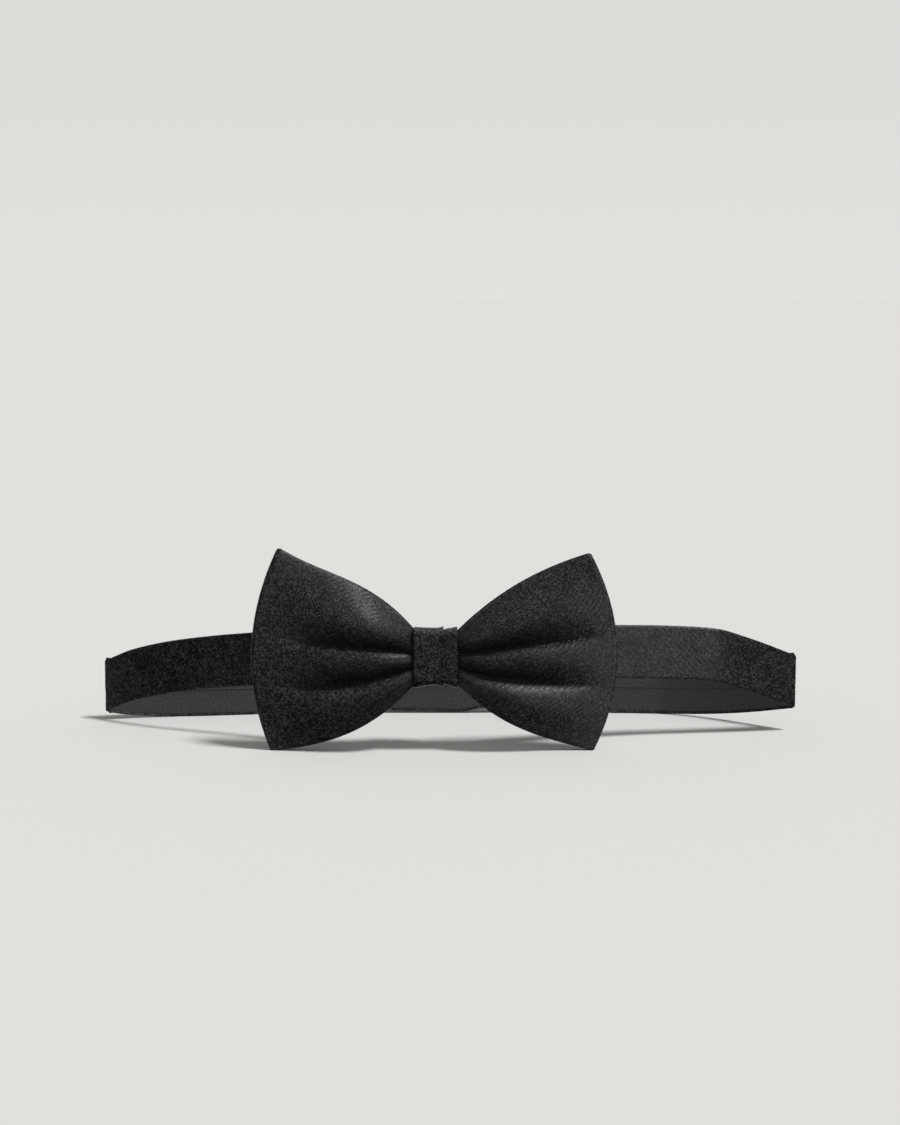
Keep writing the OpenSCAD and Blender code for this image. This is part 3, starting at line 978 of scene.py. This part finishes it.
def route_frames(route, side):
    """Each point of a route with its outward direction and the length of band up to it."""
    frames, length = [], 0.0
    for k, point in enumerate(route):
        before, after = route[max(k - 1, 0)], route[min(k + 1, len(route) - 1)]
        along = Vector((after[0] - before[0], after[1] - before[1])).normalized()
        out = Vector((along.y, -along.x)) * side
        if k:
            length += (Vector(point[:2]) - Vector(route[k - 1][:2])).length
        frames.append((point, out, length))
    return frames


def band_rows(kind, thickness, hem):
    """Rows across one ply of the band, as (share of the width, rise, offset outwards)."""
    face = thickness / 2
    main = [k / 16 for k in range(1, 16)]
    if kind == "satin":
        turned = [(hem, -face), (hem * 0.5, -face), (FLAT_AT, -face), (ROUND_AT, -face * ROUND_OUT)]
        turned += [(0, 0), (ROUND_AT, face * ROUND_OUT), (FLAT_AT, face)]
        rows = [(0, rise, out) for rise, out in turned] + [(v, 0, face) for v in main]
        return rows + [(1, -rise, out) for rise, out in reversed(turned)]
    if kind == "canvas":
        return [(0, 0.7, face * 0.5)] + [(v, 0, face * 0.5) for v in main] + [(1, -0.7, face * 0.5)]
    seam = [(0.5, -0.55, 0), (0.5, -0.2, 0.1), (0.5, 0, -0.14), (0.5, 0.14, 0.12), (0.5, 0.6, 0)]
    inner = -face * 0.52
    low = [(0, hem * 0.7, inner)] + [(v, 0, inner) for v in main if v < 0.46]
    high = [(v, 0, inner) for v in main if v > 0.54] + [(1, -hem * 0.7, inner)]
    return low + [(v, rise, inner - bump) for v, rise, bump in seam] + high


def band_grid(frames, rows, side):
    """A grid of band cloth along a route, which waves a little as sewn cloth does."""

    def place(i, j):
        (x, y, low, width), out, length = frames[i]
        share, rise, offset = rows[j]
        high = share * width + rise
        offset += 0.12 * noise.noise(Vector((length * 0.12, high * 0.25, 4.0 + side)))
        return Vector((x + out.x * offset, y + out.y * offset, low + high)), (length, high + offset)

    return cloth_grid(len(frames), len(rows), place, inside_out=side == LEFT)


BAND_SIDES = {
    LEFT: {"name": "left", "tail": "left_tail", "fold": LEFT_FOLD, "end": EYE_X},
    RIGHT: {"name": "right", "tail": "right_tail", "fold": RIGHT_FOLD, "end": HOOK_BAR_X},
}
BAND_PLIES = (
    ("satin", polyester_satin, "satin", "satin"),
    ("canvas", pressed_interlining, "interlining", "interlining"),
    ("lining", band_lining, "lining", "satin_back"),
)


class BOWTIE_OT_band(bpy.types.Operator):
    """Make the neck band's two halves, each from the knot round its fold to the fastening"""

    bl_idname = "bowtie.band"
    bl_label = "Neck band"

    def execute(self, context):
        sizes = context.scene.band_sizes
        thickness, hem = sizes.thickness / MM, sizes.hem / MM
        thick = {"satin": sizes.satin, "canvas": CANVAS_T, "lining": LINING_T}
        for side, half in BAND_SIDES.items():
            front = run_stations(FRONT_RUN[side], 0, half["fold"][0], BAND_STEP)
            rear = run_stations(REAR_RUN[side], half["fold"][0], half["end"], BAND_STEP)
            frames = route_frames(fold_route(front, rear, sizes.fold_radius / MM), side)
            for kind, maker, node, slot in BAND_PLIES:
                rows = band_rows(kind, thickness, hem)
                width = path_length([(share * BAND_W + rise, out) for share, rise, out in rows])
                bm = band_grid(frames, rows, side)
                if kind == "lining":
                    bmesh.ops.reverse_faces(bm, faces=bm.faces)
                piece = make_piece(f"band_{half['name']}_{kind}", bm, finish_of(maker))
                give_thickness(piece, thick[kind])
                x, y = half["fold"]
                start, end = (ORIGIN + Vector((x, y + k * BLEND_HALF, 0)) * MM for k in (-1, 1))
                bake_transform(piece)
                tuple(start)
                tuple(end)
                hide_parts(f"front_band_{node}", f"{half['name']}_band_{node}")
        return {"FINISHED"}


# For each end: its node, the bar it turns round, its side, where it ends, its body and the bar's node
TURNED_ENDS = (
    ("eye_end_loop", EYE_X, LEFT, EYE_LOOP_END, "left_tail", "eye_ring"),
    ("return_run", HOOK_BAR_X, RIGHT, TAIL_END, "right_tail", "hook"),
)


class BOWTIE_OT_turned_ends(bpy.types.Operator):
    """Make the band's two ends, each turned round its bar and back along itself"""

    bl_idname = "bowtie.turned_ends"
    bl_label = "Turned ends"

    def execute(self, context):
        sizes = context.scene.band_sizes
        face = sizes.thickness / MM / 2
        radius = BAR_Y - REAR_Y
        turn_steps, cross_steps, back_step = 16, 12, 1.5
        near = face * ROUND_OUT
        top = [(1, -ROUND_AT, -near), (1, 0, 0), (1, -ROUND_AT, near)]
        bottom = [(0, ROUND_AT, near), (0, 0, 0), (0, ROUND_AT, -near)]
        rises = {0: FLAT_AT, cross_steps: -FLAT_AT}
        across = [(k / cross_steps, rises.get(k, 0)) for k in range(cross_steps + 1)]
        inner = [(v, rise, -face) for v, rise in across]
        outer = [(v, rise, face) for v, rise in reversed(across)]
        rows = inner + top + outer + bottom + inner[:1]
        for name, bar_x, side, end_x, body, bar in TURNED_ENDS:
            turn = []
            for k in range(turn_steps + 1):
                angle = math.pi * k / turn_steps
                x, y = bar_x - side * radius * math.sin(angle), BAR_Y - radius * math.cos(angle)
                turn.append((x, y, REAR_LIFT, BAND_W))
            count = max(4, round(abs(end_x - bar_x) / back_step))
            back_x = [mix(bar_x, end_x, k / count) for k in range(1, count + 1)]
            back = [(x, BAR_Y + radius, REAR_LIFT, BAND_W) for x in back_x]
            frames = route_frames(turn + back, side)
            bm = band_grid(frames, rows, side)
            bmesh.ops.reverse_faces(bm, faces=bm.faces)
            bmesh.ops.remove_doubles(bm, verts=bm.verts, dist=WELD)
            open_edges = [e for e in bm.edges if e.is_boundary]
            bmesh.ops.holes_fill(bm, edges=open_edges, sides=0)
            bmesh.ops.recalc_face_normals(bm, faces=bm.faces)
            piece = make_piece(name + "_satin", bm, finish_of(polyester_satin))
            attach(piece, body)
            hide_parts(name)
        return {"FINISHED"}


# ---- Thread and metal, whose CAD shapes stay ----


def give_finish(node, finish):
    """A CAD node keeps its shape and gets a finish."""
    mesh = bpy.data.objects[node].data
    mesh.materials.clear()
    mesh.materials.append(finish)


class BOWTIE_OT_thread(bpy.types.Operator):
    """Give the sewing its thread"""

    bl_idname = "bowtie.thread"
    bl_label = "Sewing"

    def execute(self, context):
        seams = ("waist_thread", "loop_joining_stitches", "knot_stitches")
        for node in (*seams, "eye_bartack", "tail_bartack"):
            give_finish(node, finish_of(spun_thread))
        return {"FINISHED"}


class BOWTIE_OT_fastening(bpy.types.Operator):
    """Give the eye, the hook and the slider their nickel plate"""

    bl_idname = "bowtie.fastening"
    bl_label = "Fastening"

    def execute(self, context):
        for node in ("eye_ring", "hook", "slider_frame"):
            give_finish(node, finish_of(nickel_plate))
        return {"FINISHED"}


# ---- The studio ----

# Black cards on and beside the table, as lowest and highest corners in metres. Only glossy light meets
# them: they keep the pale paper out of the gloss of the band's sides and of the bow's lower folds.
BLACK_CARDS = (
    ("black_card_left", (-0.6, -0.4, 0.0005), (-0.1, 0.012, 0.001)),
    ("black_card_left_upright", (-0.61, -0.9, 0.0), (-0.6, 0.2, 0.6)),
    ("black_card_front", (-0.1, -0.105, 0.0005), (0.07, -0.03, 0.001)),
    ("black_card_right", (0.07, -0.4, 0.0005), (0.6, 0.0, 0.001)),
)

STUDIO_RADIUS = 8.0  # metres, of the floor and the lit paper
STUDIO_SIDES = 96
KEY_LEAN = math.radians(13)  # how far the key light stands to the front
SHEEN_PLACE, SHEEN_SIZE = (0.68, -0.78, 0.69), 0.25  # metres
LENS_MM, SENSOR_MM = 68.5, 36
CAMERA_EYE, CAMERA_TARGET = Vector((4.6, -693.19, 159.42)), Vector((4.6, 0, 62))  # the maker's axes


class BOWTIE_OT_stage(bpy.types.Operator):
    """Make the paper, the lights and the camera"""

    bl_idname = "bowtie.stage"
    bl_label = "Studio"

    def execute(self, context):
        scene = context.scene
        light = scene.stage_light
        bm = bmesh.new()
        bmesh.ops.create_circle(
            bm, cap_ends=True, cap_tris=True, segments=STUDIO_SIDES, radius=STUDIO_RADIUS
        )
        paper = make_object("paper_floor", bm, finish_of(studio_paper))

        bm = bmesh.new()
        bmesh.ops.create_cone(
            bm,
            cap_ends=False,
            cap_tris=False,
            segments=STUDIO_SIDES,
            radius1=STUDIO_RADIUS,
            radius2=STUDIO_RADIUS,
            depth=5 * STUDIO_RADIUS,
        )
        round_paper = make_object("lit_backdrop", bm, finish_of(lit_paper))
        round_paper.visible_diffuse = round_paper.visible_shadow = False

        for name, low, high in BLACK_CARDS:
            bm = bmesh.new()
            bmesh.ops.create_cube(bm, size=1)
            low, high = Vector(low), Vector(high)
            place = Matrix.Translation((low + high) / 2) @ Matrix.Diagonal((*(high - low), 1))
            bmesh.ops.transform(bm, matrix=place, verts=bm.verts)
            card = make_object(name, bm, finish_of(black_card))
            card.visible_camera = card.visible_diffuse = card.visible_shadow = False

        key = bpy.data.objects.new("key_light", bpy.data.lights.new("key_light", "SUN"))
        key.data.energy = light.key_power
        key.data.angle = light.key_spread
        key.rotation_euler = (KEY_LEAN, light.key_tilt, 0)
        scene.collection.objects.link(key)

        sheen = bpy.data.objects.new("sheen_light", bpy.data.lights.new("sheen_light", "AREA"))
        sheen.data.shape = "DISK"
        sheen.data.size = SHEEN_SIZE
        sheen.data.energy = light.sheen_power
        sheen.location = SHEEN_PLACE
        sheen.rotation_euler = sheen.location.to_track_quat("Z", "Y").to_euler()
        sheen.visible_diffuse = False
        scene.collection.objects.link(sheen)

        world = bpy.data.worlds.new("studio_room")
        world.use_nodes = True
        background = world.node_tree.nodes["Background"]
        background.inputs["Color"].default_value = WARM_WHITE
        background.inputs["Strength"].default_value = light.room
        scene.world = world

        camera = bpy.data.objects.new("camera", bpy.data.cameras.new("camera"))
        camera.data.lens = LENS_MM
        camera.data.sensor_width = SENSOR_MM
        camera.data.clip_start = 0.01
        eye, target = ORIGIN + CAMERA_EYE * MM, ORIGIN + CAMERA_TARGET * MM
        camera.location = eye
        camera.rotation_euler = (target - eye).to_track_quat("-Z", "Y").to_euler()
        scene.collection.objects.link(camera)
        scene.camera = camera
        scene.view_settings.view_transform = "Standard"
        return {"FINISHED"}


class BOWTIE_PT_panel(bpy.types.Panel):
    """The bow tie's pieces, in the order they are made"""

    bl_idname = "BOWTIE_PT_panel"
    bl_label = "Satin Bow Tie"
    bl_space_type = "VIEW_3D"
    bl_region_type = "UI"
    bl_category = "Bow Tie"

    def draw(self, context):
        scene = context.scene
        for group in (scene.bow_sizes, scene.band_sizes, scene.cloth_colours, scene.stage_light):
            box = self.layout.box()
            for name in group.bl_rna.properties.keys():
                if name not in ("rna_type", "name"):
                    box.prop(group, name)
        for maker in MAKERS:
            self.layout.operator(maker.bl_idname)


GROUPS = {
    "bow_sizes": BowSizes,
    "band_sizes": BandSizes,
    "cloth_colours": ClothColours,
    "stage_light": StageLight,
}
MAKERS = (
    BOWTIE_OT_bow,
    BOWTIE_OT_knot,
    BOWTIE_OT_band,
    BOWTIE_OT_turned_ends,
    BOWTIE_OT_thread,
    BOWTIE_OT_fastening,
    BOWTIE_OT_stage,
)


def register():
    """Registers every class and hangs the property groups on the scene."""
    for kind in (*GROUPS.values(), *MAKERS, BOWTIE_PT_panel):
        bpy.utils.register_class(kind)
    for name, kind in GROUPS.items():
        setattr(bpy.types.Scene, name, PointerProperty(type=kind))


def unregister():
    """Takes everything off again."""
    for name in GROUPS:
        delattr(bpy.types.Scene, name)
    for kind in reversed((*GROUPS.values(), *MAKERS, BOWTIE_PT_panel)):
        bpy.utils.unregister_class(kind)


def main():
    """Makes every piece."""
    register()
    for maker in MAKERS:
        group, name = maker.bl_idname.split(".")
        getattr(getattr(bpy.ops, group), name)()
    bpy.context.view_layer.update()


if __name__ == "__main__":
    main()
